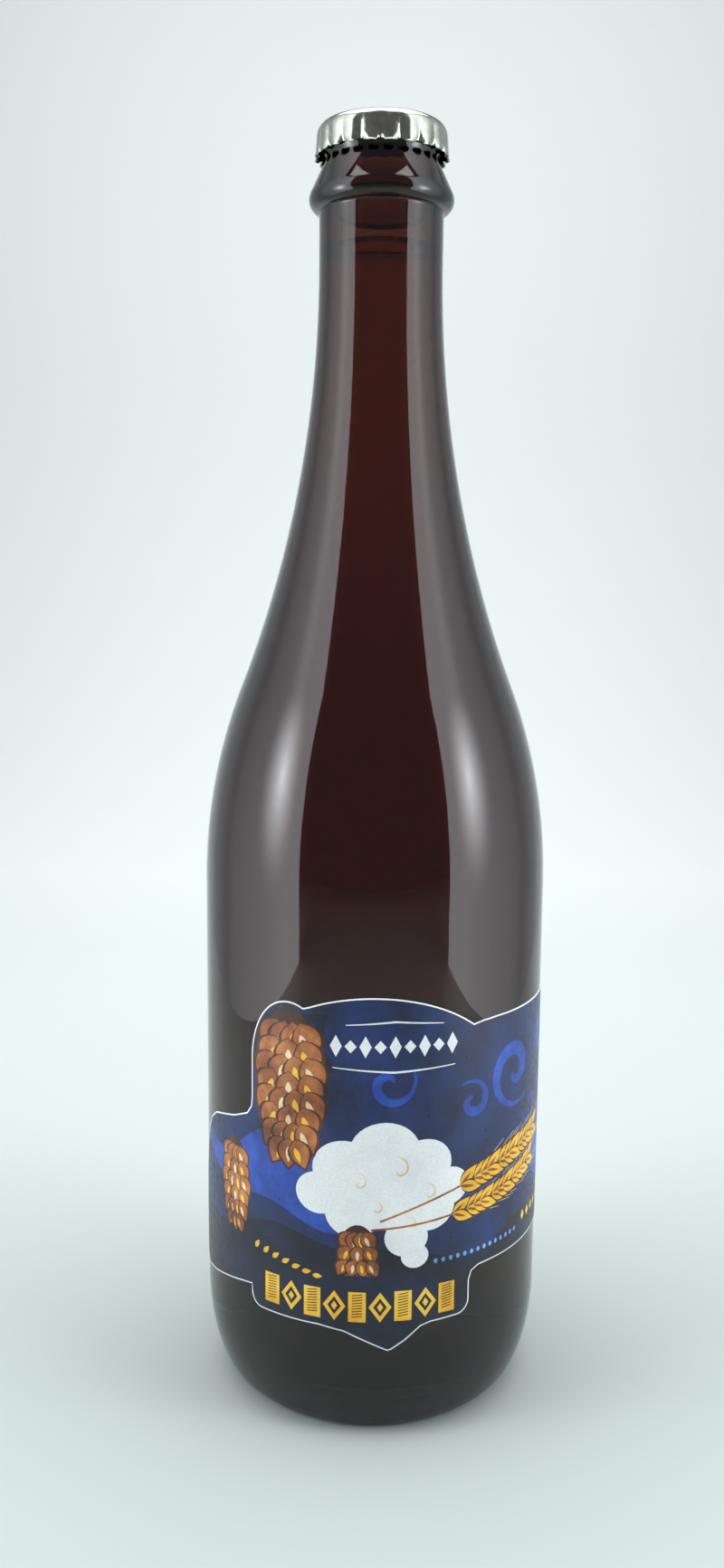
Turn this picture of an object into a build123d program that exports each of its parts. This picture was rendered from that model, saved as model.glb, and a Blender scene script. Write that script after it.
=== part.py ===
from build123d import *
import os
from math import acos, cos, pi, radians, sin, tan

# A capped 750 ml bottle of beer, in millimetres.
# The origin is the centre of the base on the floor, +Z is up, and the label faces -Y.

# Bottle: outside
body_radius = 41.0
shoulder_start = 124.0  # height at which the straight body turns into the shoulder
shoulder_radius = 128.5  # convex arc from the body into the shoulder
sweep_radius = 265.0  # concave arc from the shoulder into the neck
neck_radius = 14.25
neck_length = 11.8  # straight neck from the end of the sweep to the collar
heel_reach = 8.3  # how far the rounded heel comes in
heel_rise = 24.0  # how high the rounded heel reaches
bearing_width = 2.6  # flat ring that stands on the floor
punt_height = 8.5  # hollow under the base
punt_lead = 3.0  # rounding from the bearing ring into the punt

# Bottle: inside
wall = 3.9
base_thickness = 6.5
floor_corner = 17.0  # height of the rounding between inner floor and wall
bore_radius = 9.2
bore_length = 7.0  # straight bore at the mouth

# Bottle: finish, which is the collar and the lip that takes the cap
collar_reach = 2.35  # how far the collar stands out from the neck
collar_rise = 2.7  # from the collar's underside up to its widest point
collar_round = 3.6  # rounding from the widest point into the cone
cone_slope = 26.0  # degrees between the cone and the vertical
groove_radius = 13.1
groove_height = 1.0
lip_radius = 14.4
lip_slope = 1.6  # height of the slope from the groove out to the lip
lip_height = 5.3  # from the slope's top to the flat rim
lip_round = 1.7
rim_round = 0.8  # rounding from the rim into the bore

# Beer
fill_below_collar = 7.6  # the beer stops this far below the collar

# Crown cap
flute_count = 21
flute_turn = -10.1  # degrees from the front to the middle of the nearest flute
cap_metal = 0.28
cap_play = 0.12  # between the lip and the inside of the skirt
cap_skirt = 6.9  # from the rim of the glass down to the tips of the teeth
cap_corner = 2.1  # rounding between the top and the skirt
tooth_flare = 0.75  # how far a tooth's tip stands out from the skirt
valley_tuck = 0.35  # how far a valley's tip is pressed in under the lip
notch_radius = 1.0  # rounded gap between two teeth
notch_depth = 0.6

# Die-cut label, wrapped round the straight body
label_film = 0.12
label_low = 40.0  # lower edge of the long wing
label_high = 98.6  # upper edge of the long wing
wing_end = 150.0  # degrees round to the right at which the long wing ends
wing_corner = 4.0
dome_x = 0.5
dome_top = 105.6
dome_radius = 37.0
dome_half_width = 22.0
crest_x = -18.0  # rounded crest left of the dome
crest_top = 103.3
crest_half_width = 9.6
crest_half_height = 16.0
field_low = 33.0
banner_left = -27.6
banner_right = 22.7
banner_low = 28.4
banner_high = 39.5
banner_corner = 2.8
point_x = 4.0  # small point that hangs below the banner
point_low = 23.0
point_half_width = 8.0
flap_turn = -58.0  # degrees round to the left at which the short flap is centred
flap_half_turn = 25.5
flap_low = 29.0
flap_high = 71.0
flap_corner = 7.0

# Worked out from the sizes above
bend = acos(1 - (body_radius - neck_radius) / (shoulder_radius + sweep_radius))
neck_start = shoulder_start + (shoulder_radius + sweep_radius) * sin(bend)
collar_low = neck_start + neck_length
collar_radius = neck_radius + collar_reach
collar_mid = collar_low + collar_rise
cone_radius = collar_radius - collar_round * (1 - cos(radians(cone_slope)))
cone_low = collar_mid + collar_round * sin(radians(cone_slope))
groove_low = cone_low + (cone_radius - groove_radius) / tan(radians(cone_slope))
lip_low = groove_low + groove_height
rim_height = lip_low + lip_slope + lip_height
fill_height = collar_low - fill_below_collar
shoulder_centre = (body_radius - shoulder_radius, shoulder_start)
sweep_centre = (neck_radius + sweep_radius, neck_start)
bearing_radius = body_radius - heel_reach
inner_radius = body_radius - wall
inner_neck = neck_radius - wall
floor_height = punt_height + base_thickness
floor_radius = bearing_radius - wall
cap_top = rim_height + cap_metal
tip_height = rim_height - cap_skirt
valley_radius = lip_radius + cap_play + cap_metal


def on_arc(centre, radius, angle):
    """The point of an arc at an angle in radians from +X."""
    return (centre[0] + radius * cos(angle), centre[1] + radius * sin(angle))


def facing(turn):
    """Upright plane through the axis that faces this many degrees round from the front."""
    angle = radians(turn)
    return Plane(origin=(0, 0, 0), x_dir=(cos(angle), sin(angle), 0), z_dir=(sin(angle), -cos(angle), 0))


def glass_line(offset):
    """Side of the bottle from the body's shoulder to the neck, this far inside its outer face."""
    low = (body_radius - offset, shoulder_start)
    turn = on_arc(shoulder_centre, shoulder_radius - offset, bend)
    high = (neck_radius - offset, neck_start)
    TangentArc(low, turn, tangent=(0, 1))
    TangentArc(high, turn, tangent=(0, -1))


def inner_line(bottom):
    """Inside of the bottle from the middle of its floor up to the neck."""
    corner = (floor_radius, bottom)
    Spline(
        (0, floor_height),
        (floor_radius * 0.55, (floor_height + bottom) / 2),
        corner,
        tangents=((1, 0), (1, 0)),
    )
    EllipticalCenterArc(
        (floor_radius, bottom + floor_corner),
        inner_radius - floor_radius,
        floor_corner,
        start_angle=270,
        arc_size=90,
    )
    Line((inner_radius, bottom + floor_corner), (inner_radius, shoulder_start))
    glass_line(wall)


# Bottle glass
with BuildPart() as bottle:
    with BuildSketch(Plane.XZ):
        with BuildLine():
            punt_edge = bearing_radius - bearing_width
            # underside: punt, rounding and bearing ring
            Spline(
                (0, punt_height),
                (punt_edge * 0.6, punt_height * 0.72),
                (punt_edge, 0),
                tangents=((1, 0), (punt_lead / 3, -1)),
            )
            Line((punt_edge, 0), (bearing_radius, 0))
            # outside
            EllipticalCenterArc(
                (bearing_radius, heel_rise), heel_reach, heel_rise, start_angle=270, arc_size=90
            )
            Line((body_radius, heel_rise), (body_radius, shoulder_start))
            glass_line(0)
            Line((neck_radius, neck_start), (neck_radius, collar_low))
            # collar: rounded underside and top, then a cone up to the groove
            TangentArc((collar_radius, collar_mid), (neck_radius, collar_low), tangent=(0, -1))
            TangentArc((collar_radius, collar_mid), (cone_radius, cone_low), tangent=(0, 1))
            Line((cone_radius, cone_low), (groove_radius, groove_low))
            # groove and lip
            Line((groove_radius, groove_low), (groove_radius, lip_low))
            Line((groove_radius, lip_low), (lip_radius, lip_low + lip_slope))
            Line((lip_radius, lip_low + lip_slope), (lip_radius, rim_height - lip_round))
            TangentArc(
                (lip_radius, rim_height - lip_round), (lip_radius - lip_round, rim_height), tangent=(0, 1)
            )
            Line((lip_radius - lip_round, rim_height), (bore_radius + rim_round, rim_height))
            TangentArc(
                (bore_radius + rim_round, rim_height), (bore_radius, rim_height - rim_round), tangent=(-1, 0)
            )
            # inside
            Line((bore_radius, rim_height - rim_round), (bore_radius, rim_height - bore_length))
            Line((bore_radius, rim_height - bore_length), (inner_neck, collar_low))
            Line((inner_neck, collar_low), (inner_neck, neck_start))
            inner_line(base_thickness)
            Line((0, floor_height), (0, punt_height))
        make_face()
    revolve(axis=Axis.Z)

# Beer, which fills the bottle up to the neck
with BuildPart() as beer:
    with BuildSketch(Plane.XZ):
        with BuildLine():
            inner_line(base_thickness)
            Line((inner_neck, neck_start), (inner_neck, fill_height))
            Line((inner_neck, fill_height), (0, fill_height))
            Line((0, fill_height), (0, floor_height))
        make_face()
    revolve(axis=Axis.Z)

# Crown cap: a thin shell whose skirt is pressed into flutes
points_per_flute = 8


def flute_ring(height, valley, crest):
    """Closed wavy outline of the skirt: broad crests with narrow valleys between them."""
    count = flute_count * points_per_flute
    points = []
    for step in range(count):
        turn = 2 * pi * step / count
        lobe = abs(cos(flute_count * turn / 2))
        radius = valley + (crest - valley) * lobe
        angle = turn + radians(flute_turn - 90)
        points.append((radius * cos(angle), radius * sin(angle)))
    with BuildSketch(Plane.XY.offset(height)) as ring:
        with BuildLine():
            Spline(*points, periodic=True)
        make_face()
    return ring.sketch


def shell_rings(metal):
    """Outlines of the cap from its tips up over the corner, this far inside its outer face."""
    high = cap_top - cap_corner
    skirt = (
        (tip_height, -valley_tuck, tooth_flare),
        (tip_height + lip_slope / 2, -valley_tuck * 0.7, tooth_flare * 0.6),
        (lip_low + lip_slope, 0, tooth_flare * 0.5),
        ((lip_low + lip_slope + high) / 2, 0, tooth_flare * 0.35),
        (high, 0, tooth_flare * 0.15),
    )
    rings = []
    for height, inward, outward in skirt:
        rings.append(flute_ring(height, valley_radius + inward - metal, valley_radius + outward - metal))
    for tilt in (radians(30), radians(60), radians(90)):
        round_radius = cap_corner - metal
        radius = valley_radius - cap_corner + round_radius * cos(tilt)
        rings.append(flute_ring(high + round_radius * sin(tilt), radius, radius))
    return rings


with BuildPart() as cap_room:
    loft(shell_rings(cap_metal))

with BuildPart() as crown_cap:
    loft(shell_rings(0))
    add(cap_room.part, mode=Mode.SUBTRACT)
    # rounded gaps between the teeth
    for tooth in range(flute_count):
        gap_turn = flute_turn + 360 * (tooth + 0.5) / flute_count
        with BuildSketch(facing(gap_turn)):
            with Locations((0, tip_height - notch_radius + notch_depth)):
                Circle(notch_radius)
        extrude(amount=2 * valley_radius, mode=Mode.SUBTRACT)


# Label: a sleeve of film round the body, kept only where the die cut leaves it
with BuildPart() as die:
    # centre: field, dome, crest, banner and its point
    with BuildSketch(Plane.XZ):
        with Locations((dome_x, dome_top - dome_radius)):
            Circle(dome_radius)
        with Locations((dome_x, dome_top)):
            Rectangle(2 * dome_half_width, 2 * dome_radius, mode=Mode.INTERSECT)
        with Locations((crest_x - crest_half_width, field_low)):
            Rectangle(
                dome_x + dome_half_width - crest_x + crest_half_width,
                crest_top - crest_half_height - field_low,
                align=(Align.MIN, Align.MIN),
            )
        with Locations((crest_x, crest_top - crest_half_height)):
            Ellipse(crest_half_width, crest_half_height)
        with Locations(((banner_left + banner_right) / 2, (banner_low + banner_high) / 2)):
            RectangleRounded(banner_right - banner_left, banner_high - banner_low, banner_corner)
        with BuildLine():
            Polyline(
                (point_x - point_half_width, banner_low + 0.5),
                (point_x, point_low),
                (point_x + point_half_width, banner_low + 0.5),
                close=True,
            )
        make_face()
    extrude(amount=2 * body_radius)
    # short flap round to the left
    with BuildSketch(facing(flap_turn)):
        with Locations((0, (flap_low + flap_high) / 2)):
            flap_width = 2 * body_radius * sin(radians(flap_half_turn))
            RectangleRounded(flap_width, flap_high - flap_low, flap_corner)
    extrude(amount=2 * body_radius)
    # long wing round to the right, in two overlapping lengths
    for middle in (wing_end - 105, wing_end - 45):
        with BuildSketch(facing(middle)):
            with Locations((0, (label_low + label_high) / 2)):
                wing_width = 2 * body_radius * sin(radians(45))
                RectangleRounded(wing_width, label_high - label_low, wing_corner)
        extrude(amount=2 * body_radius)

with BuildPart() as label:
    with BuildSketch(Plane.XY.offset(point_low)):
        Circle(body_radius + label_film)
        Circle(body_radius, mode=Mode.SUBTRACT)
    extrude(amount=dome_top - point_low)
    add(die.part, mode=Mode.INTERSECT)

for name, piece in (("bottle", bottle), ("beer", beer), ("crown_cap", crown_cap), ("label", label)):
    piece.part.label = name

os.makedirs("parts", exist_ok=True)
export_step(bottle.part, "parts/bottle.step")
export_step(beer.part, "parts/beer.step")
export_step(crown_cap.part, "parts/crown_cap.step")
export_step(label.part, "parts/label.step")
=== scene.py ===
import math
import random

import bmesh
import bpy
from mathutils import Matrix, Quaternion, Vector
from mathutils.geometry import delaunay_2d_cdt


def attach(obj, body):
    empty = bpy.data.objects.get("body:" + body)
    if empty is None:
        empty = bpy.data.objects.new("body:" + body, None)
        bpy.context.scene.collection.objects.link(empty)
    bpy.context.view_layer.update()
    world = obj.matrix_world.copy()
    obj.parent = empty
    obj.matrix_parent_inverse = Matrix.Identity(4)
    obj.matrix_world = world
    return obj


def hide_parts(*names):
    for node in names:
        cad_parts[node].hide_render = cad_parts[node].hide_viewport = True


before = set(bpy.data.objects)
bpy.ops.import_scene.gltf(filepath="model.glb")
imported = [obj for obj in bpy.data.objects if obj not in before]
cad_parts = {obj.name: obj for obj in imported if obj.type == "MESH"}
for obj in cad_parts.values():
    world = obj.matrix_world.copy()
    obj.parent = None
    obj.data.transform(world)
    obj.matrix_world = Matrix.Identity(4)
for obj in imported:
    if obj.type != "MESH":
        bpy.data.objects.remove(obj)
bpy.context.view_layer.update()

# The bottle's axis is Z and the label's front faces -Y. Sizes are in millimetres, scaled by MM to metres.
MM = 0.001

BODY_RADIUS = 41.0
WALL = 3.9
HEEL_ACROSS = 8.3
HEEL_UP = 24
SHOULDER_START = 124.0
SHOULDER_RADIUS = 128.5
SWEEP_RADIUS = 265.0
NECK_RADIUS = 14.25
NECK_LENGTH = 11.8

COLLAR_INNER_RADIUS = 13.87
COLLAR_SWELL = 2.73
COLLAR_STEP = 2.7
COLLAR_CENTRE = 13.0
COLLAR_ROUND = 3.6
CONE_ANGLE = 26
GROOVE_RADIUS = 13.1
GROOVE_HEIGHT = 1.0
LIP_RADIUS = 14.4
LIP_FLARE = 1.6
LIP_HEIGHT = 5.3
LIP_ROUND = 1.7
MOUTH_RADIUS = 9.2
MOUTH_ROUND = 0.8

FLOOR_THICKNESS = 6.5
FLOOR_RISE = 8.0
FLOOR_RADIUS = 28.8
INSIDE_HEEL_UP = 17
PUNT = [(0.0, 8.5), (6.0, 8.3), (12.0, 7.6), (18.0, 6.1), (23.0, 4.1), (27.0, 2.1), (29.0, 0.9), (29.8, 0.25)]
BEARING_RING = [(30.1, 0.0), (31.4, 0.0), (32.7, 0.0)]

FILL_BELOW_COLLAR = 7.6
BEER_INTO_WALL = 0.15
LABEL_FILM = 0.12
LABEL_EDGE_INTO_GLASS = 0.02
TURNS = 192  # steps round the axis of a turned piece


# ---------------------------------------------------------------- node helpers
def new_material(name):
    """Material with its node tree and its Principled shader."""
    material = bpy.data.materials.new(name)
    material.use_nodes = True
    tree = material.node_tree
    shader = tree.nodes["Principled BSDF"]
    return material, tree, shader


def noise(tree, scale, detail=4.0, roughness=0.55, stretch=(1, 1, 1)):
    """Noise in object coordinates; scale is in features per metre."""
    place = tree.nodes.new("ShaderNodeTexCoord")
    mapping = tree.nodes.new("ShaderNodeMapping")
    mapping.inputs["Scale"].default_value = stretch
    texture = tree.nodes.new("ShaderNodeTexNoise")
    texture.inputs["Scale"].default_value = scale
    texture.inputs["Detail"].default_value = detail
    texture.inputs["Roughness"].default_value = roughness
    tree.links.new(place.outputs["Object"], mapping.inputs["Vector"])
    tree.links.new(mapping.outputs["Vector"], texture.inputs["Vector"])
    return texture.outputs["Fac"]


def ramp(tree, source, stops):
    """Colour ramp over a value; stops are (position, colour)."""
    node = tree.nodes.new("ShaderNodeValToRGB")
    elements = node.color_ramp.elements
    while len(elements) < len(stops):
        elements.new(0.5)
    for element, (position, colour) in zip(elements, stops):
        element.position = position
        element.color = (*colour, 1.0)
    tree.links.new(source, node.inputs["Fac"])
    return node.outputs["Color"]


def value_range(tree, source, low, high, out_low, out_high):
    """The value mapped from one range to another, held at the ends."""
    node = tree.nodes.new("ShaderNodeMapRange")
    node.inputs["From Min"].default_value = low
    node.inputs["From Max"].default_value = high
    node.inputs["To Min"].default_value = out_low
    node.inputs["To Max"].default_value = out_high
    tree.links.new(source, node.inputs["Value"])
    return node.outputs["Result"]


def bump(tree, shader, source, distance, strength):
    """Surface relief from a value; distance is in metres."""
    node = tree.nodes.new("ShaderNodeBump")
    node.inputs["Distance"].default_value = distance
    node.inputs["Strength"].default_value = strength
    tree.links.new(source, node.inputs["Height"])
    tree.links.new(node.outputs["Normal"], shader.inputs["Normal"])


# ------------------------------------------------------------------- materials
def glass_material():
    """Amber-brown bottle glass, with faint ripples and handling scuffs."""
    material, tree, shader = new_material("amber_glass")
    shader.inputs["Base Color"].default_value = (1, 1, 1, 1)
    shader.inputs["Transmission Weight"].default_value = 1.0
    shader.inputs["IOR"].default_value = 1.52
    shader.inputs["Specular IOR Level"].default_value = 0.3
    scuffs = noise(tree, 900, 6, 0.7, (1, 1, 0.25))
    tree.links.new(value_range(tree, scuffs, 0.68, 0.85, 0.012, 0.09), shader.inputs["Roughness"])
    bump(tree, shader, noise(tree, 60, 2, 0.4), 0.05 * MM, 0.5)
    absorb = tree.nodes.new("ShaderNodeVolumeAbsorption")
    absorb.inputs["Color"].default_value = (0.52, 0.24, 0.07, 1)
    absorb.inputs["Density"].default_value = 720.0
    tree.links.new(absorb.outputs["Volume"], tree.nodes["Material Output"].inputs["Volume"])
    return material


def beer_material():
    """Dark amber beer."""
    material, tree, shader = new_material("dark_beer")
    shader.inputs["Base Color"].default_value = (1, 1, 1, 1)
    shader.inputs["Transmission Weight"].default_value = 1.0
    shader.inputs["IOR"].default_value = 1.34
    ripple = noise(tree, 40, 2)
    tree.links.new(value_range(tree, ripple, 0.3, 0.7, 0.0, 0.02), shader.inputs["Roughness"])
    absorb = tree.nodes.new("ShaderNodeVolumeAbsorption")
    absorb.inputs["Color"].default_value = (0.84, 0.58, 0.1, 1)
    absorb.inputs["Density"].default_value = 100.0
    tree.links.new(absorb.outputs["Volume"], tree.nodes["Material Output"].inputs["Volume"])
    return material


def cap_material():
    """Dull greenish tinplate with fine drawing marks and small scuffs."""
    material, tree, shader = new_material("tinplate")
    shader.inputs["Metallic"].default_value = 1.0
    tone = noise(tree, 350, 5, 0.6)
    stops = [(0.3, (0.3, 0.32, 0.27)), (0.6, (0.42, 0.45, 0.38)), (0.75, (0.52, 0.54, 0.47))]
    colour = ramp(tree, tone, stops)
    tree.links.new(colour, shader.inputs["Base Color"])
    marks = noise(tree, 1400, 6, 0.7, (1, 1, 0.2))
    tree.links.new(value_range(tree, marks, 0.35, 0.75, 0.1, 0.28), shader.inputs["Roughness"])
    bump(tree, shader, noise(tree, 500, 3), 0.03 * MM, 0.6)
    return material


def ink_material(name, low, middle, high, gloss):
    """Printed ink on coated film: cloudy tone, fine print grain and faint creases."""
    material, tree, shader = new_material(name)
    clouds = noise(tree, 90, 8, 0.65)
    base = ramp(tree, clouds, [(0.34, low), (0.5, middle), (0.68, high)])
    grain = ramp(tree, noise(tree, 3500, 2), [(0.35, (0.86, 0.86, 0.86)), (0.6, (1, 1, 1))])
    mix = tree.nodes.new("ShaderNodeMix")
    mix.data_type = "RGBA"
    mix.blend_type = "MULTIPLY"
    mix.inputs["Factor"].default_value = 1.0
    tree.links.new(base, mix.inputs["A"])
    tree.links.new(grain, mix.inputs["B"])
    tree.links.new(mix.outputs["Result"], shader.inputs["Base Color"])
    wear = noise(tree, 700, 5, 0.7)
    tree.links.new(value_range(tree, wear, 0.3, 0.8, gloss, gloss + 0.25), shader.inputs["Roughness"])
    bump(tree, shader, noise(tree, 220, 4), 0.04 * MM, 0.5)
    return material


INK_GLOSS = 0.26
WHITE_INK_GLOSS = 0.34
INKS = {  # darkest, middle and lightest tone
    "navy": ((0.006, 0.011, 0.04), (0.01, 0.021, 0.085), (0.014, 0.035, 0.15)),
    "night": ((0.004, 0.006, 0.014), (0.006, 0.01, 0.028), (0.01, 0.018, 0.055)),
    "royal": ((0.008, 0.03, 0.17), (0.014, 0.055, 0.33), (0.03, 0.1, 0.5)),
    "sky": ((0.1, 0.24, 0.6), (0.16, 0.34, 0.75), (0.25, 0.45, 0.85)),
    "white": ((0.72, 0.75, 0.76), (0.8, 0.83, 0.83), (0.86, 0.88, 0.88)),
    "gold": ((0.62, 0.3, 0.01), (0.85, 0.48, 0.02), (0.93, 0.62, 0.08)),
    "umber": ((0.012, 0.005, 0.003), (0.05, 0.015, 0.006), (0.16, 0.045, 0.012)),
    "copper": ((0.12, 0.03, 0.008), (0.33, 0.1, 0.025), (0.62, 0.26, 0.08)),
    "cream": ((0.6, 0.42, 0.2), (0.8, 0.62, 0.36), (0.9, 0.78, 0.55)),
}


# ---------------------------------------------------------------- turned pieces
def arc(centre, radius, start, end, count):
    """Points of an arc, angles in degrees."""
    points = []
    for step in range(count + 1):
        angle = math.radians(start + (end - start) * step / count)
        points.append((centre[0] + radius * math.cos(angle), centre[1] + radius * math.sin(angle)))
    return points


def mesh_object(name, verts, faces):
    """Smooth-shaded object in the scene, from points in metres."""
    mesh = bpy.data.meshes.new(name)
    mesh.from_pydata(verts, [], faces)
    mesh.validate()
    for polygon in mesh.polygons:
        polygon.use_smooth = True
    obj = bpy.data.objects.new(name, mesh)
    bpy.context.scene.collection.objects.link(obj)
    return obj


# ------------------------------------------------------------- label outline
# The label is laid out flat: s runs round the bottle from its front towards +X, z is the height, both in mm.
DOME = (0.5, 66.0, 39.6)  # s, z and radius
DOME_RIGHT = 23.4  # how far from the dome's middle its arc ends
DOME_LEFT = 14.6
CREST = (-19.7, 88.0, 10.4, 15.3)  # s, z, half width and half height
WING_END = 150.0  # degrees round from the front
WING_LOW = 40.0
WING_HIGH = 98.6
WING_CORNER = 4
FLAP_LEFT = -59.0
WHITE_EDGE = 0.32  # border left white inside the die cut


def ellipse_points(s, z, across, up, start=0.0, end=360.0, count=48):
    """Points of an elliptical arc, angles in degrees."""
    points = []
    for step in range(count + 1):
        angle = math.radians(start + (end - start) * step / count)
        points.append((s + across * math.cos(angle), z + up * math.sin(angle)))
    return points


def wing_end_s():
    """Where the label ends on its long side, in flat millimetres."""
    return math.radians(WING_END) * BODY_RADIUS


def die_outline():
    """The die cut, anticlockwise from the lower left of the banner."""
    end = wing_end_s()
    points = ellipse_points(-27.0, 31.6, 3.2, 3.2, 180, 270, 8)
    points += [(-12.0, 28.3), (-6.0, 27.4), (-1.0, 25.2), (3.2, 23.3), (4.0, 23.0), (4.9, 23.3), (8.0, 25.3)]
    points += [(11.6, 28.3), (14.0, 29.0)]
    points += ellipse_points(20.6, 32.6, 3.3, 3.3, 275, 360, 8)
    points += [(23.9, 37.0), (24.6, 39.0), (26.6, 39.9)]
    points += [(s, WING_LOW) for s in range(30, int(end) - WING_CORNER, 4)]
    corner_s = end - WING_CORNER
    points += ellipse_points(corner_s, WING_LOW + WING_CORNER, WING_CORNER, WING_CORNER, 270, 360, 8)
    points += ellipse_points(corner_s, WING_HIGH - WING_CORNER, WING_CORNER, WING_CORNER, 0, 90, 8)
    points += [(s, WING_HIGH) for s in range(int(end) - 2 * WING_CORNER, 30, -4)]
    points += [(26.5, WING_HIGH - 0.2)]
    right = math.degrees(math.acos(DOME_RIGHT / DOME[2]))
    left = math.degrees(math.acos(-DOME_LEFT / DOME[2]))
    points += ellipse_points(DOME[0], DOME[1], DOME[2], DOME[2], right, left, 26)
    points += ellipse_points(*CREST, 62, 180, 18)[1:]
    points += [(-30.1, 79.0), (-30.4, 76.6), (-31.8, 74.6)]
    points += [(-36.7, 72.6), (-42.0, 71.2), (-46.3, 70.0), (-50.2, 67.4), (-53.0, 63.4), (-55.6, 58.0)]
    points += [(-57.8, 50.0), (FLAP_LEFT, 42.0), (-58.6, 33.0), (-57.0, 29.6), (-54.0, 28.0)]
    points += [(-47.2, 29.4), (-39.8, 31.2), (-33.5, 32.6), (-30.3, 33.2)]
    return points


def inset(points, amount):
    """The closed outline moved inwards; it runs anticlockwise."""
    result = []
    count = len(points)
    for index in range(count):
        before = Vector(points[index - 1])
        here = Vector(points[index])
        after = Vector(points[(index + 1) % count])
        along = (after - before).normalized()
        result.append((here.x - along.y * amount, here.y + along.x * amount))
    return result


# ---------------------------------------------------------------- label shapes
def petal(s, z, length, width, turn, count=8):
    """Pointed leaf with its root at (s, z), turned this many degrees from +s."""
    sides = []
    for side in (1, -1):
        steps = range(count + 1) if side > 0 else range(count - 1, 0, -1)
        for step in steps:
            along = step / count
            sides.append((along * length, -side * width / 2 * math.sin(math.pi * along ** 0.8)))
    angle = math.radians(turn)
    return [
        (s + x * math.cos(angle) - y * math.sin(angle), z + x * math.sin(angle) + y * math.cos(angle))
        for x, y in sides
    ]


def stroke(points, widths):
    """Band along a line of points, with a width at each."""
    left, right = [], []
    for index, point in enumerate(points):
        before = Vector(points[max(index - 1, 0)])
        after = Vector(points[min(index + 1, len(points) - 1)])
        along = (after - before).normalized()
        half = widths[index] / 2
        left.append((point[0] - along.y * half, point[1] + along.x * half))
        right.append((point[0] + along.y * half, point[1] - along.x * half))
    return right + left[::-1]


def hop_cone(s, z, length, width, rows):
    """Hanging hop cone: overlapping bracts, dark ones below light ones."""
    shapes = [("umber", ellipse_points(s, z - length * 0.45, width * 0.5, length * 0.52, count=30)[:-1])]
    for row in range(rows):
        along = row / (rows - 1)
        half = width * 0.5 * math.sin(math.pi * (0.18 + 0.72 * along)) ** 0.8
        count = 3 if row % 2 else 4
        for item in range(count):
            across = (item + 0.5) / count * 2 - 1
            root = (s + across * half * 0.72, z - length * (0.02 + 0.8 * along))
            turn = -90 + across * 34
            size = length * 0.27 * (1 - 0.25 * along)
            shapes.append(("umber", petal(*root, size * 1.12, size * 0.92, turn)))
            shapes.append(("copper", petal(root[0], root[1] - 0.2, size, size * 0.74, turn)))
            vein = petal(root[0], root[1] - size * 0.3, size * 0.55, size * 0.2, turn)
            shapes.append(("cream" if item % 2 else "gold", vein))
    return shapes


def barley(start, turn, bend, length, grains, size):
    """Ear of barley on a bent stalk, with its grains in pairs and long awns."""
    shapes, spine = [], []
    angle, here = turn, Vector(start)
    steps = 26
    for step in range(steps + 1):
        spine.append(tuple(here))
        angle += bend / steps
        here = here + Vector((math.cos(math.radians(angle)), math.sin(math.radians(angle)))) * length / steps
    shapes.append(("copper", stroke(spine[::2], [0.5] * len(spine[::2]))))
    for grain in range(grains):
        index = int(steps * (0.42 + 0.56 * grain / grains))
        root = spine[index]
        heading = turn + bend * index / steps
        for side in (1, -1):
            lean = heading + side * 27
            tip = (
                root[0] + math.cos(math.radians(heading + side * 15)) * size * 2.5,
                root[1] + math.sin(math.radians(heading + side * 15)) * size * 2.5,
            )
            shapes.append(("cream", stroke([root, tip], [0.22, 0.1])))
            shapes.append(("umber", petal(*root, size * 1.12, size * 0.58, lean)))
            shapes.append(("gold", petal(*root, size, size * 0.44, lean)))
            shapes.append(("copper", petal(*root, size * 0.66, size * 0.12, lean)))
    return shapes


def diamond(s, z, across, up):
    """Lozenge with its half width and half height."""
    return [(s - across, z), (s, z - up), (s + across, z), (s, z + up)]


def hatched_band(first, last, low, high, count):
    """Row of gold lozenges and bars with fine dark hatching."""
    shapes = []
    pitch = (last - first) / count
    for item in range(count):
        s = first + pitch * (item + 0.5)
        lift = 1.1 * math.sin(math.pi * (item + 0.5) / count)
        middle = (low + high) / 2 - lift
        up = (high - low) / 2
        if item % 2:
            shapes.append(("gold", diamond(s, middle, pitch * 0.5, up)))
            shapes.append(("night", diamond(s, middle, pitch * 0.3, up * 0.6)))
            shapes.append(("gold", diamond(s, middle, pitch * 0.14, up * 0.3)))
        else:
            low_edge, high_edge = middle - up, middle + up
            bar = [(s - 2, low_edge), (s + 2, low_edge), (s + 2, high_edge), (s - 2, high_edge)]
            shapes.append(("gold", bar))
            for line in range(9):
                z = middle - up * 0.72 + line * up * 0.18
                hatch = [(s - 1.2, z), (s + 1.2, z + 0.35), (s + 1.2, z + 0.6), (s - 1.2, z + 0.25)]
                shapes.append(("umber", hatch))
    return shapes


def swirl(s, z, size, turns, width, start):
    """Spiral stroke that winds outwards; negative turns wind the other way."""
    points, widths = [], []
    count = 30
    for step in range(count + 1):
        along = step / count
        angle = math.radians(start) + along * turns * 2 * math.pi
        radius = size * (0.12 + 0.88 * along)
        points.append((s + radius * math.cos(angle), z + radius * math.sin(angle)))
        widths.append(width * (0.25 + 0.75 * math.sin(math.pi * min(along * 1.05, 1.0))))
    return stroke(points, widths)


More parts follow.
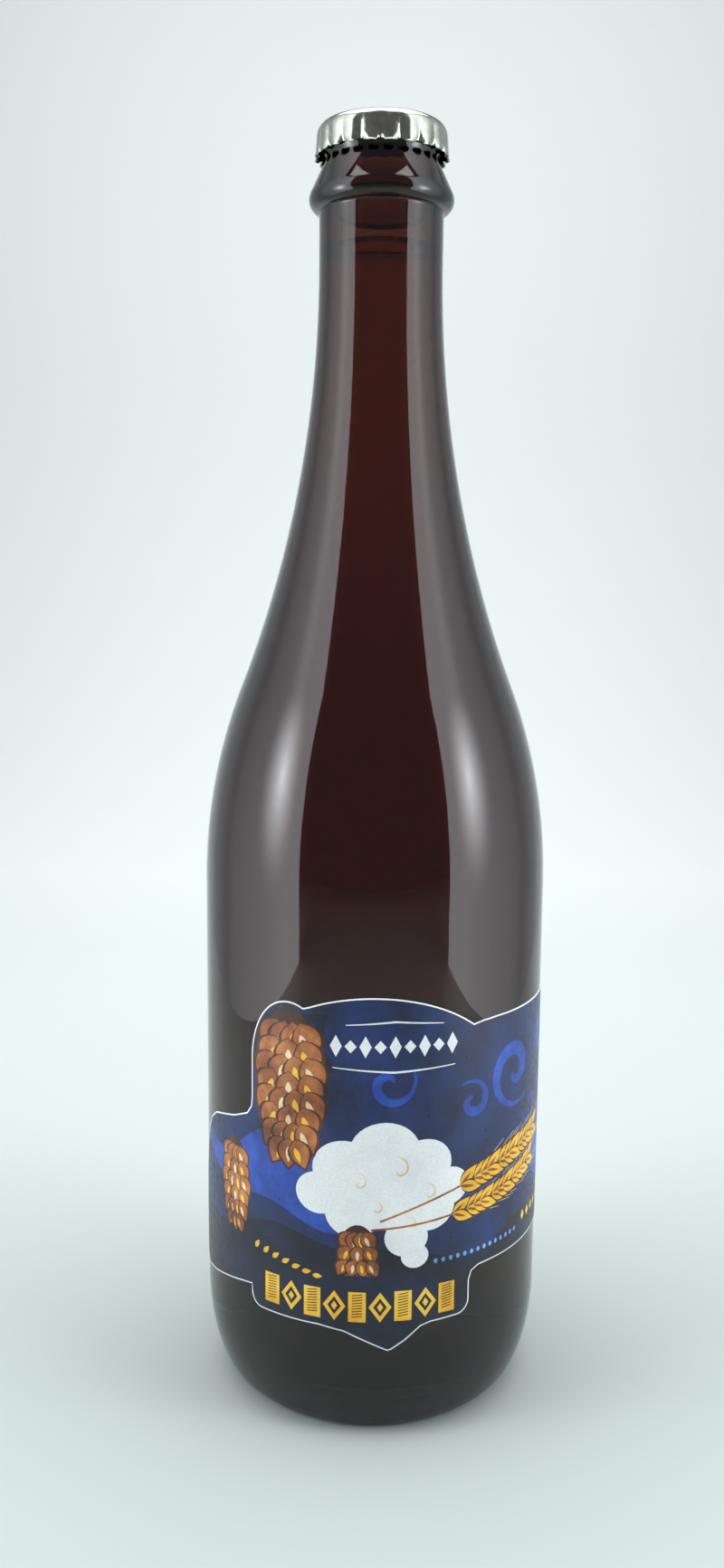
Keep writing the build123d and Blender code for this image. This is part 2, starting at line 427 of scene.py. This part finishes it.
def label_artwork():
    """Hop cones, barley, foam and hills: shapes from back to front as (ink, outline)."""
    rng = random.Random(7)
    shapes = []
    # rolling hills in royal blue behind everything
    for base, height, ink in ((66, 9, "royal"), (56, 7, "navy"), (47, 5, "night")):
        top = []
        for step in range(56):
            s = -62 + step * 3.2
            top.append((s, base + height * math.sin(s / 13.0 + base) * 0.5 + height * 0.3 * math.sin(s / 5.1)))
        shapes.append((ink, [(-62, 18), (114.2, 18)] + top[::-1]))
    # royal swirls of steam in the sky
    for s, z, size, turns, width, start in (
        (38, 84, 9, 1.3, 3.4, 200), (56, 88, 7, -1.2, 2.8, 20), (24, 80, 5, 1.1, 2.2, 90),
        (72, 82, 9, 1.2, 3.2, 120), (92, 86, 7, -1.2, 2.6, 0), (47, 73, 5, -1.0, 2.0, 180),
        (4, 86, 6, 1.0, 2.2, 30),
    ):
        shapes.append(("royal", swirl(s, z, size, turns, width, start)))
    # foam: a heap of white rounds that runs over to the right
    for s, z, size in (
        (-6, 66, 7.5), (3, 70, 8.0), (12, 67, 6.5), (-12, 60, 5.5), (18, 61, 5.0),
        (4, 60, 9.0), (13, 57, 6.5), (-4, 56, 6.5), (8, 50, 5.0), (10, 45.5, 3.2),
    ):
        shapes.append(("white", ellipse_points(s, z, size, size * 0.9, count=32)[:-1]))
    for s, z, size in ((-3, 63, 2.6), (6, 66, 3.2), (13, 60, 2.4), (1, 57, 2.0), (9, 53, 1.6)):
        shapes.append(("cream", swirl(s, z, size, 0.7, 0.5, 210)))
    # hop leaves and cones
    for turn in (150, 100, 40, 200, -20):
        shapes.append(("night", petal(-20, 93, 13, 8, turn)))
        shapes.append(("navy", petal(-20, 93, 10, 4, turn)))
    shapes += hop_cone(-19.5, 99.5, 34, 17.5, 8)
    shapes += hop_cone(-36.5, 66, 21, 11, 6)
    shapes += hop_cone(-3, 52, 17, 10, 5)
    # barley sweeping to the right
    shapes += barley((2, 54), 22, -16, 52, 11, 6.2)
    shapes += barley((0, 52), 4, 10, 50, 11, 5.6)
    shapes += barley((98, 52), 150, -40, 46, 10, 5.4)
    # white ornament in the dome
    for item in range(-4, 5):
        up = 2.5 if item % 2 == 0 else 1.5
        shapes.append(("white", diamond(5 + item * 3.3, 94.5, 1.35, up)))
    shapes.append(("white", stroke([(-9, 89.5), (5, 88.7), (19, 89.5)], [0.2, 0.5, 0.2])))
    shapes.append(("white", stroke([(-6, 99.3), (5, 100.2), (16, 99.3)], [0.2, 0.45, 0.2])))
    # sky-blue and white beads along the lower right
    for item in range(14):
        shapes.append(("sky", ellipse_points(15 + item * 1.9, 43.6 + 0.05 * item, 0.5, 0.6, count=8)[:-1]))
    for row in range(5):
        for item in range(8):
            length = rng.uniform(0.5, 1.5)
            s = 54 + item * 2.6
            z = 60 - row * 2.6
            shapes.append(("sky", [(s, z), (s + length, z), (s + length, z + 0.5), (s, z + 0.5)]))
    for item in range(6):
        shapes.append(("gold", diamond(44 + item * 3.0, 46, 0.9, 1.4)))
    # banner: darker ground under the gold band
    shapes.append(("night", ellipse_points(-2, 34.5, 27, 6.6, count=44)[:-1]))
    shapes += hatched_band(-26.5, 20.5, 31.0, 38.2, 9)
    for item in range(7):
        shapes.append(("gold", petal(-29 + item * 2.6, 42.8 - item * 0.45, 2.4, 1.2, 60 - 10 * item)))
    return shapes


def build_label():
    """One sheet cut up along every shape's edge, wrapped round the body, with its white cut edge."""
    outline = die_outline()
    inner = inset(outline, WHITE_EDGE)
    polygons = [("white", outline), ("navy", inner)]
    polygons += label_artwork()
    verts, faces, edges = [], [], []
    for _, polygon in polygons:
        start = len(verts)
        verts += [Vector(point) for point in polygon]
        faces.append(list(range(start, start + len(polygon))))
    # upright cuts keep the sheet round
    left, right, pitch = -60.0, wing_end_s() + 1, 1.6
    for step in range(int((right - left) / pitch) + 1):
        s = left + step * pitch
        start = len(verts)
        verts += [Vector((s, 20.0)), Vector((s, 108.0))]
        edges.append((start, start + 1))
    points, _, tris, _, _, origins = delaunay_2d_cdt(verts, edges, faces, 0, 1e-5)
    inks = sorted(INKS)
    radius = (BODY_RADIUS + LABEL_FILM) * MM
    mesh_verts = []
    for point in points:
        angle = point.x * MM / radius
        mesh_verts.append((radius * math.sin(angle), -radius * math.cos(angle), point.y * MM))
    kept, slots = [], []
    for tri, origin in zip(tris, origins):
        if 0 not in origin:
            continue
        top = max(origin)
        if 1 not in origin:
            top = 0
        kept.append(tri)
        slots.append(inks.index(polygons[top][0]))
    obj = mesh_object("label_print", mesh_verts, kept)
    for ink in inks:
        gloss = WHITE_INK_GLOSS if ink == "white" else INK_GLOSS
        obj.data.materials.append(ink_material("ink_" + ink, *INKS[ink], gloss))
    for polygon, slot in zip(obj.data.polygons, slots):
        polygon.material_index = slot
    # turn the cut edge in to the glass
    mesh = bmesh.new()
    mesh.from_mesh(obj.data)
    bmesh.ops.delete(mesh, geom=[v for v in mesh.verts if not v.link_faces], context="VERTS")
    rim = [edge for edge in mesh.edges if len(edge.link_faces) == 1]
    folded = bmesh.ops.extrude_edge_only(mesh, edges=rim)
    for vert in folded["geom"]:
        if isinstance(vert, bmesh.types.BMVert):
            edge_radius = (BODY_RADIUS - LABEL_EDGE_INTO_GLASS) * MM
            flat = Vector((vert.co.x, vert.co.y, 0)).normalized() * edge_radius
            vert.co.x, vert.co.y = flat.x, flat.y
    bmesh.ops.recalc_face_normals(mesh, faces=mesh.faces)
    mesh.to_mesh(obj.data)
    mesh.free()
    return obj


label = build_label()
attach(label, "root")
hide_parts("label")


# --------------------------------------------------------------- bottle profile
def shoulder_side(offset):
    """Shoulder and sweep up to the neck, this far inside the outer face, and the neck's start."""
    reach = SHOULDER_RADIUS + SWEEP_RADIUS
    bend = math.degrees(math.acos(1 - (BODY_RADIUS - NECK_RADIUS) / reach))
    neck_start = SHOULDER_START + reach * math.sin(math.radians(bend))
    shoulder_centre = (BODY_RADIUS - SHOULDER_RADIUS, SHOULDER_START)
    sweep_centre = (NECK_RADIUS + SWEEP_RADIUS, neck_start)
    points = arc(shoulder_centre, SHOULDER_RADIUS - offset, 0, bend, 40)
    points += arc(sweep_centre, SWEEP_RADIUS + offset, 180 + bend, 180, 40)[1:]
    return points, neck_start


def outer_profile():
    """Outside of the bottle up to the rim, with the heights of the collar's foot and the rim."""
    points = list(BEARING_RING)
    heel_centre = BODY_RADIUS - HEEL_ACROSS
    for step in range(1, 25):
        angle = math.radians(90 * step / 24)
        points.append((heel_centre + HEEL_ACROSS * math.sin(angle), HEEL_UP * (1 - math.cos(angle))))
    points += [(BODY_RADIUS, z) for z in range(HEEL_UP + 4, int(SHOULDER_START), 8)]
    shoulder, neck_start = shoulder_side(0)
    points += shoulder
    low = neck_start + NECK_LENGTH
    points += [(NECK_RADIUS, low - 5), (NECK_RADIUS, low - 0.5), (NECK_RADIUS + 0.05, collar_height(low, 1))]
    for step in range(2, 13):
        swell = COLLAR_SWELL * math.sin(math.radians(7.5 * step))
        points.append((COLLAR_INNER_RADIUS + swell, collar_height(low, step)))
    points += arc((COLLAR_CENTRE, low + COLLAR_STEP), COLLAR_ROUND, 0, CONE_ANGLE, 6)[1:]
    cone_r, cone_z = points[-1]
    groove = cone_z + (cone_r - GROOVE_RADIUS) / math.tan(math.radians(CONE_ANGLE))
    lip = groove + GROOVE_HEIGHT + LIP_FLARE
    points += [(GROOVE_RADIUS, groove), (GROOVE_RADIUS, groove + GROOVE_HEIGHT), (LIP_RADIUS, lip)]
    rim = lip + LIP_HEIGHT
    points.append((LIP_RADIUS, rim - LIP_ROUND))
    points += arc((LIP_RADIUS - LIP_ROUND, rim - LIP_ROUND), LIP_ROUND, 0, 90, 6)[1:]
    mouth_centre = MOUTH_RADIUS + MOUTH_ROUND
    points.append((mouth_centre, rim))
    points += arc((mouth_centre, rim - MOUTH_ROUND), MOUTH_ROUND, 90, 180, 5)[1:]
    return points, low, rim


def collar_height(low, step):
    """Height of this step of the collar's lower round, of twelve."""
    return low + COLLAR_STEP * (1 - math.cos(math.radians(7.5 * step)))


def inner_profile(offset, top):
    """Inside of the bottle from this height down to its floor, moved outwards by the offset."""
    neck = NECK_RADIUS - WALL
    inside_radius = BODY_RADIUS - WALL
    shoulder, neck_start = shoulder_side(WALL)
    reach = inside_radius - FLOOR_RADIUS
    points = [(neck, top), (neck, neck_start + 1)] + shoulder[::-1]
    points += [(inside_radius, z) for z in range(120, 24, -8)]
    for step in range(21):
        angle = math.radians(90 * (1 - step / 20))
        height = FLOOR_THICKNESS + INSIDE_HEEL_UP * (1 - math.cos(angle))
        points.append((FLOOR_RADIUS + reach * math.sin(angle), height))
    for step in range(1, 13):
        along = step / 12
        ease = along * along * (3 - 2 * along)
        points.append((FLOOR_RADIUS * (1 - along), FLOOR_THICKNESS + FLOOR_RISE * ease))
    if not offset:
        return points
    moved = []
    for index, point in enumerate(points):
        before = Vector(points[max(index - 1, 0)])
        after = Vector(points[min(index + 1, len(points) - 1)])
        along = (after - before).normalized()
        moved.append((max(point[0] - along.y * offset, 0.0), point[1] + along.x * offset))
    moved[0] = (moved[0][0], top)
    moved[-1] = (0.0, moved[-1][1])
    return moved


def turned(name, profile):
    """Closed piece of revolution; the profile starts and ends on the axis."""
    verts, rings = [], []
    for radius, height in profile:
        if radius < 1e-6:
            rings.append([len(verts)])
            verts.append((0, 0, height * MM))
            continue
        rings.append(list(range(len(verts), len(verts) + TURNS)))
        for step in range(TURNS):
            angle = 2 * math.pi * step / TURNS
            verts.append((radius * MM * math.cos(angle), radius * MM * math.sin(angle), height * MM))
    faces = []
    for low, high in zip(rings, rings[1:]):
        for step in range(TURNS):
            after = (step + 1) % TURNS
            if len(low) == 1:
                faces.append((low[0], high[after], high[step]))
            elif len(high) == 1:
                faces.append((low[step], low[after], high[0]))
            else:
                faces.append((low[step], low[after], high[after], high[step]))
    return mesh_object(name, verts, faces)


outer, collar_low, rim = outer_profile()
mouth = [(MOUTH_RADIUS, rim - 4), (MOUTH_RADIUS, rim - 7)]
glass = turned("glass", PUNT + outer + mouth + inner_profile(0, collar_low))
glass.data.materials.append(glass_material())
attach(glass, "root")
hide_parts("bottle")

fill = collar_low - FILL_BELOW_COLLAR
beer_side = inner_profile(BEER_INTO_WALL, fill)
beer = turned("beer_fill", beer_side[::-1] + [(10.6, fill), (5.0, fill), (0.0, fill)])
beer.data.materials.append(beer_material())
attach(beer, "root")
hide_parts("beer")

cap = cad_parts["crown_cap"]
for slot in cap.material_slots:
    slot.material = cap_material()
for polygon in cap.data.polygons:
    polygon.use_smooth = True


# ----------------------------------------------------------- studio and camera
# Places and sizes from here on are in metres.
WALL_SIDE = 0.32  # how far each tent wall stands from the bottle's axis
WALL_FRONT = -0.29
WALL_BACK = 0.3
WALL_TOP = 0.7
WALL_GLOW = 3.2
BACK_GLOW_SHARE = 0.22  # glow of a wall's rear part as a share of its front part
GLOW_FALL = (-0.2, 0.12)  # y where the glow starts and ends its fall
LAMP_GLOW = 12.0
LAMP_Y = -0.14
LAMP_Z = 0.225
LAMP_REACH = (1.0, 0.11, 0.17)
WALL_COLOUR = (0.9, 0.96, 1.0, 1)

TOP_LAMP_PLACE = (0, 0.05, 0.95)
TOP_LAMP_SIZE = (0.9, 0.7)
TOP_LAMP_POWER = 8.0
TOP_LAMP_COLOUR = (0.97, 1.0, 0.99)

# The floor's colour carries painted shade: darker near the front, fading into the backdrop's pale tone between
# NEAR_FLOOR and FAR_FLOOR.
PAINTED_FLOOR_SHADE = (0.43, 0.475, 0.45)
BACKDROP_TONE = (0.92, 0.965, 0.96)
SHADE_FADE_SHARE = 0.9  # how far the painted floor shade has faded into the backdrop's tone at FAR_FLOOR
NEAR_FLOOR = -0.02
FAR_FLOOR = 0.5
FLOOR_WIDTH = 3.0
FLOOR_FRONT = -0.9
BACKDROP_Y = 0.75
BACKDROP_TOP = 1.6
BACKDROP_BEND = 0.35

ROOM_COLOUR = (0.2, 0.19, 0.21, 1)

CAMERA_PLACE = (0, -0.3266, 0.1948)
CAMERA_LENS = 31.2  # mm, on a 36 mm sensor
CAMERA_YAW = 0.58  # degrees
CAMERA_DOWN = 8.39
CAMERA_ROLL = 0.51


def position_axes(tree):
    """World position, whole and split into its axes."""
    place = tree.nodes.new("ShaderNodeNewGeometry")
    axes = tree.nodes.new("ShaderNodeSeparateXYZ")
    tree.links.new(place.outputs["Position"], axes.inputs["Vector"])
    return place.outputs["Position"], axes


def tent_wall(name, facing):
    """Lit cloth wall at one side: a glow that fades to the back, and a bright patch by a lamp."""
    x = facing * WALL_SIDE
    corners = [(WALL_FRONT, 0.0), (WALL_BACK, 0.0), (WALL_BACK, WALL_TOP), (WALL_FRONT, WALL_TOP)]
    wall = mesh_object(name, [(x, y, z) for y, z in corners], [(0, 1, 2, 3)])
    material = bpy.data.materials.new(name)
    material.use_nodes = True
    tree = material.node_tree
    tree.nodes.clear()
    out = tree.nodes.new("ShaderNodeOutputMaterial")
    glow = tree.nodes.new("ShaderNodeEmission")
    position, axes = position_axes(tree)
    lamp = tree.nodes.new("ShaderNodeMapping")
    lamp.vector_type = "TEXTURE"
    lamp.inputs["Location"].default_value = (x, LAMP_Y, LAMP_Z)
    lamp.inputs["Scale"].default_value = LAMP_REACH
    tree.links.new(position, lamp.inputs["Vector"])
    spot = tree.nodes.new("ShaderNodeTexGradient")
    spot.gradient_type = "QUADRATIC_SPHERE"
    tree.links.new(lamp.outputs["Vector"], spot.inputs["Vector"])
    even = value_range(tree, axes.outputs["Y"], *GLOW_FALL, WALL_GLOW, WALL_GLOW * BACK_GLOW_SHARE)
    bright = value_range(tree, spot.outputs["Fac"], 0.0, 1.0, 0.0, LAMP_GLOW)
    total = tree.nodes.new("ShaderNodeMath")
    total.operation = "ADD"
    tree.links.new(even, total.inputs[0])
    tree.links.new(bright, total.inputs[1])
    tree.links.new(total.outputs["Value"], glow.inputs["Strength"])
    glow.inputs["Color"].default_value = WALL_COLOUR
    tree.links.new(glow.outputs["Emission"], out.inputs["Surface"])
    wall.data.materials.append(material)
    wall.visible_camera = False
    wall.visible_shadow = False


def top_lamp():
    """Soft lamp above, aimed at the bottle's foot."""
    data = bpy.data.lights.new("top", "AREA")
    data.shape = "RECTANGLE"
    data.size, data.size_y = TOP_LAMP_SIZE
    data.energy = TOP_LAMP_POWER
    data.color = TOP_LAMP_COLOUR
    lamp = bpy.data.objects.new("top", data)
    bpy.context.scene.collection.objects.link(lamp)
    lamp.location = TOP_LAMP_PLACE
    lamp.rotation_euler = (-Vector(TOP_LAMP_PLACE)).to_track_quat("-Z", "Y").to_euler()
    lamp.visible_camera = False


def build_stage():
    """Pale floor that curves up into a backdrop, with painted shade that makes the floor darker towards the
    front and fades out further back.
    """
    bend = BACKDROP_BEND
    line = [(FLOOR_FRONT, 0.0), (BACKDROP_Y - bend, 0.0)]
    for angle in range(10, 91, 10):
        turn = math.radians(angle)
        line.append((BACKDROP_Y - bend + bend * math.sin(turn), bend - bend * math.cos(turn)))
    line.append((BACKDROP_Y, BACKDROP_TOP))
    verts, faces = [], []
    for y, z in line:
        verts += [(-FLOOR_WIDTH / 2, y, z), (FLOOR_WIDTH / 2, y, z)]
    for step in range(len(line) - 1):
        faces.append((2 * step, 2 * step + 1, 2 * step + 3, 2 * step + 2))
    obj = mesh_object("backdrop", verts, faces)
    material, tree, shader = new_material("paper_with_painted_floor_shade")
    _, axes = position_axes(tree)
    # painted shade: the paper's colour darkens towards the front and fades into the backdrop's tone further
    # back
    distance = value_range(tree, axes.outputs["Y"], NEAR_FLOOR, FAR_FLOOR, 0.0, SHADE_FADE_SHARE)
    tone = ramp(tree, distance, [(0.0, PAINTED_FLOOR_SHADE), (1.0, BACKDROP_TONE)])
    tree.links.new(tone, shader.inputs["Base Color"])
    shader.inputs["Roughness"].default_value = 0.7
    obj.data.materials.append(material)


build_stage()
tent_wall("left_wall", -1)
tent_wall("right_wall", 1)
top_lamp()

world = bpy.data.worlds.new("room")
bpy.context.scene.world = world
world.use_nodes = True
background = world.node_tree.nodes["Background"]
background.inputs["Color"].default_value = ROOM_COLOUR
background.inputs["Strength"].default_value = 1.0

camera_data = bpy.data.cameras.new("camera")
camera_data.lens = CAMERA_LENS
camera_data.sensor_width = 36.0
camera = bpy.data.objects.new("camera", camera_data)
bpy.context.scene.collection.objects.link(camera)
camera.location = CAMERA_PLACE
camera.rotation_mode = "QUATERNION"
yaw = Quaternion((0, 0, 1), math.radians(CAMERA_YAW))
pitch = Quaternion((1, 0, 0), math.pi / 2 - math.radians(CAMERA_DOWN))
roll = Quaternion((0, 0, 1), math.radians(CAMERA_ROLL))
camera.rotation_quaternion = yaw @ pitch @ roll
bpy.context.scene.camera = camera
bpy.context.scene.view_settings.view_transform = "Standard"
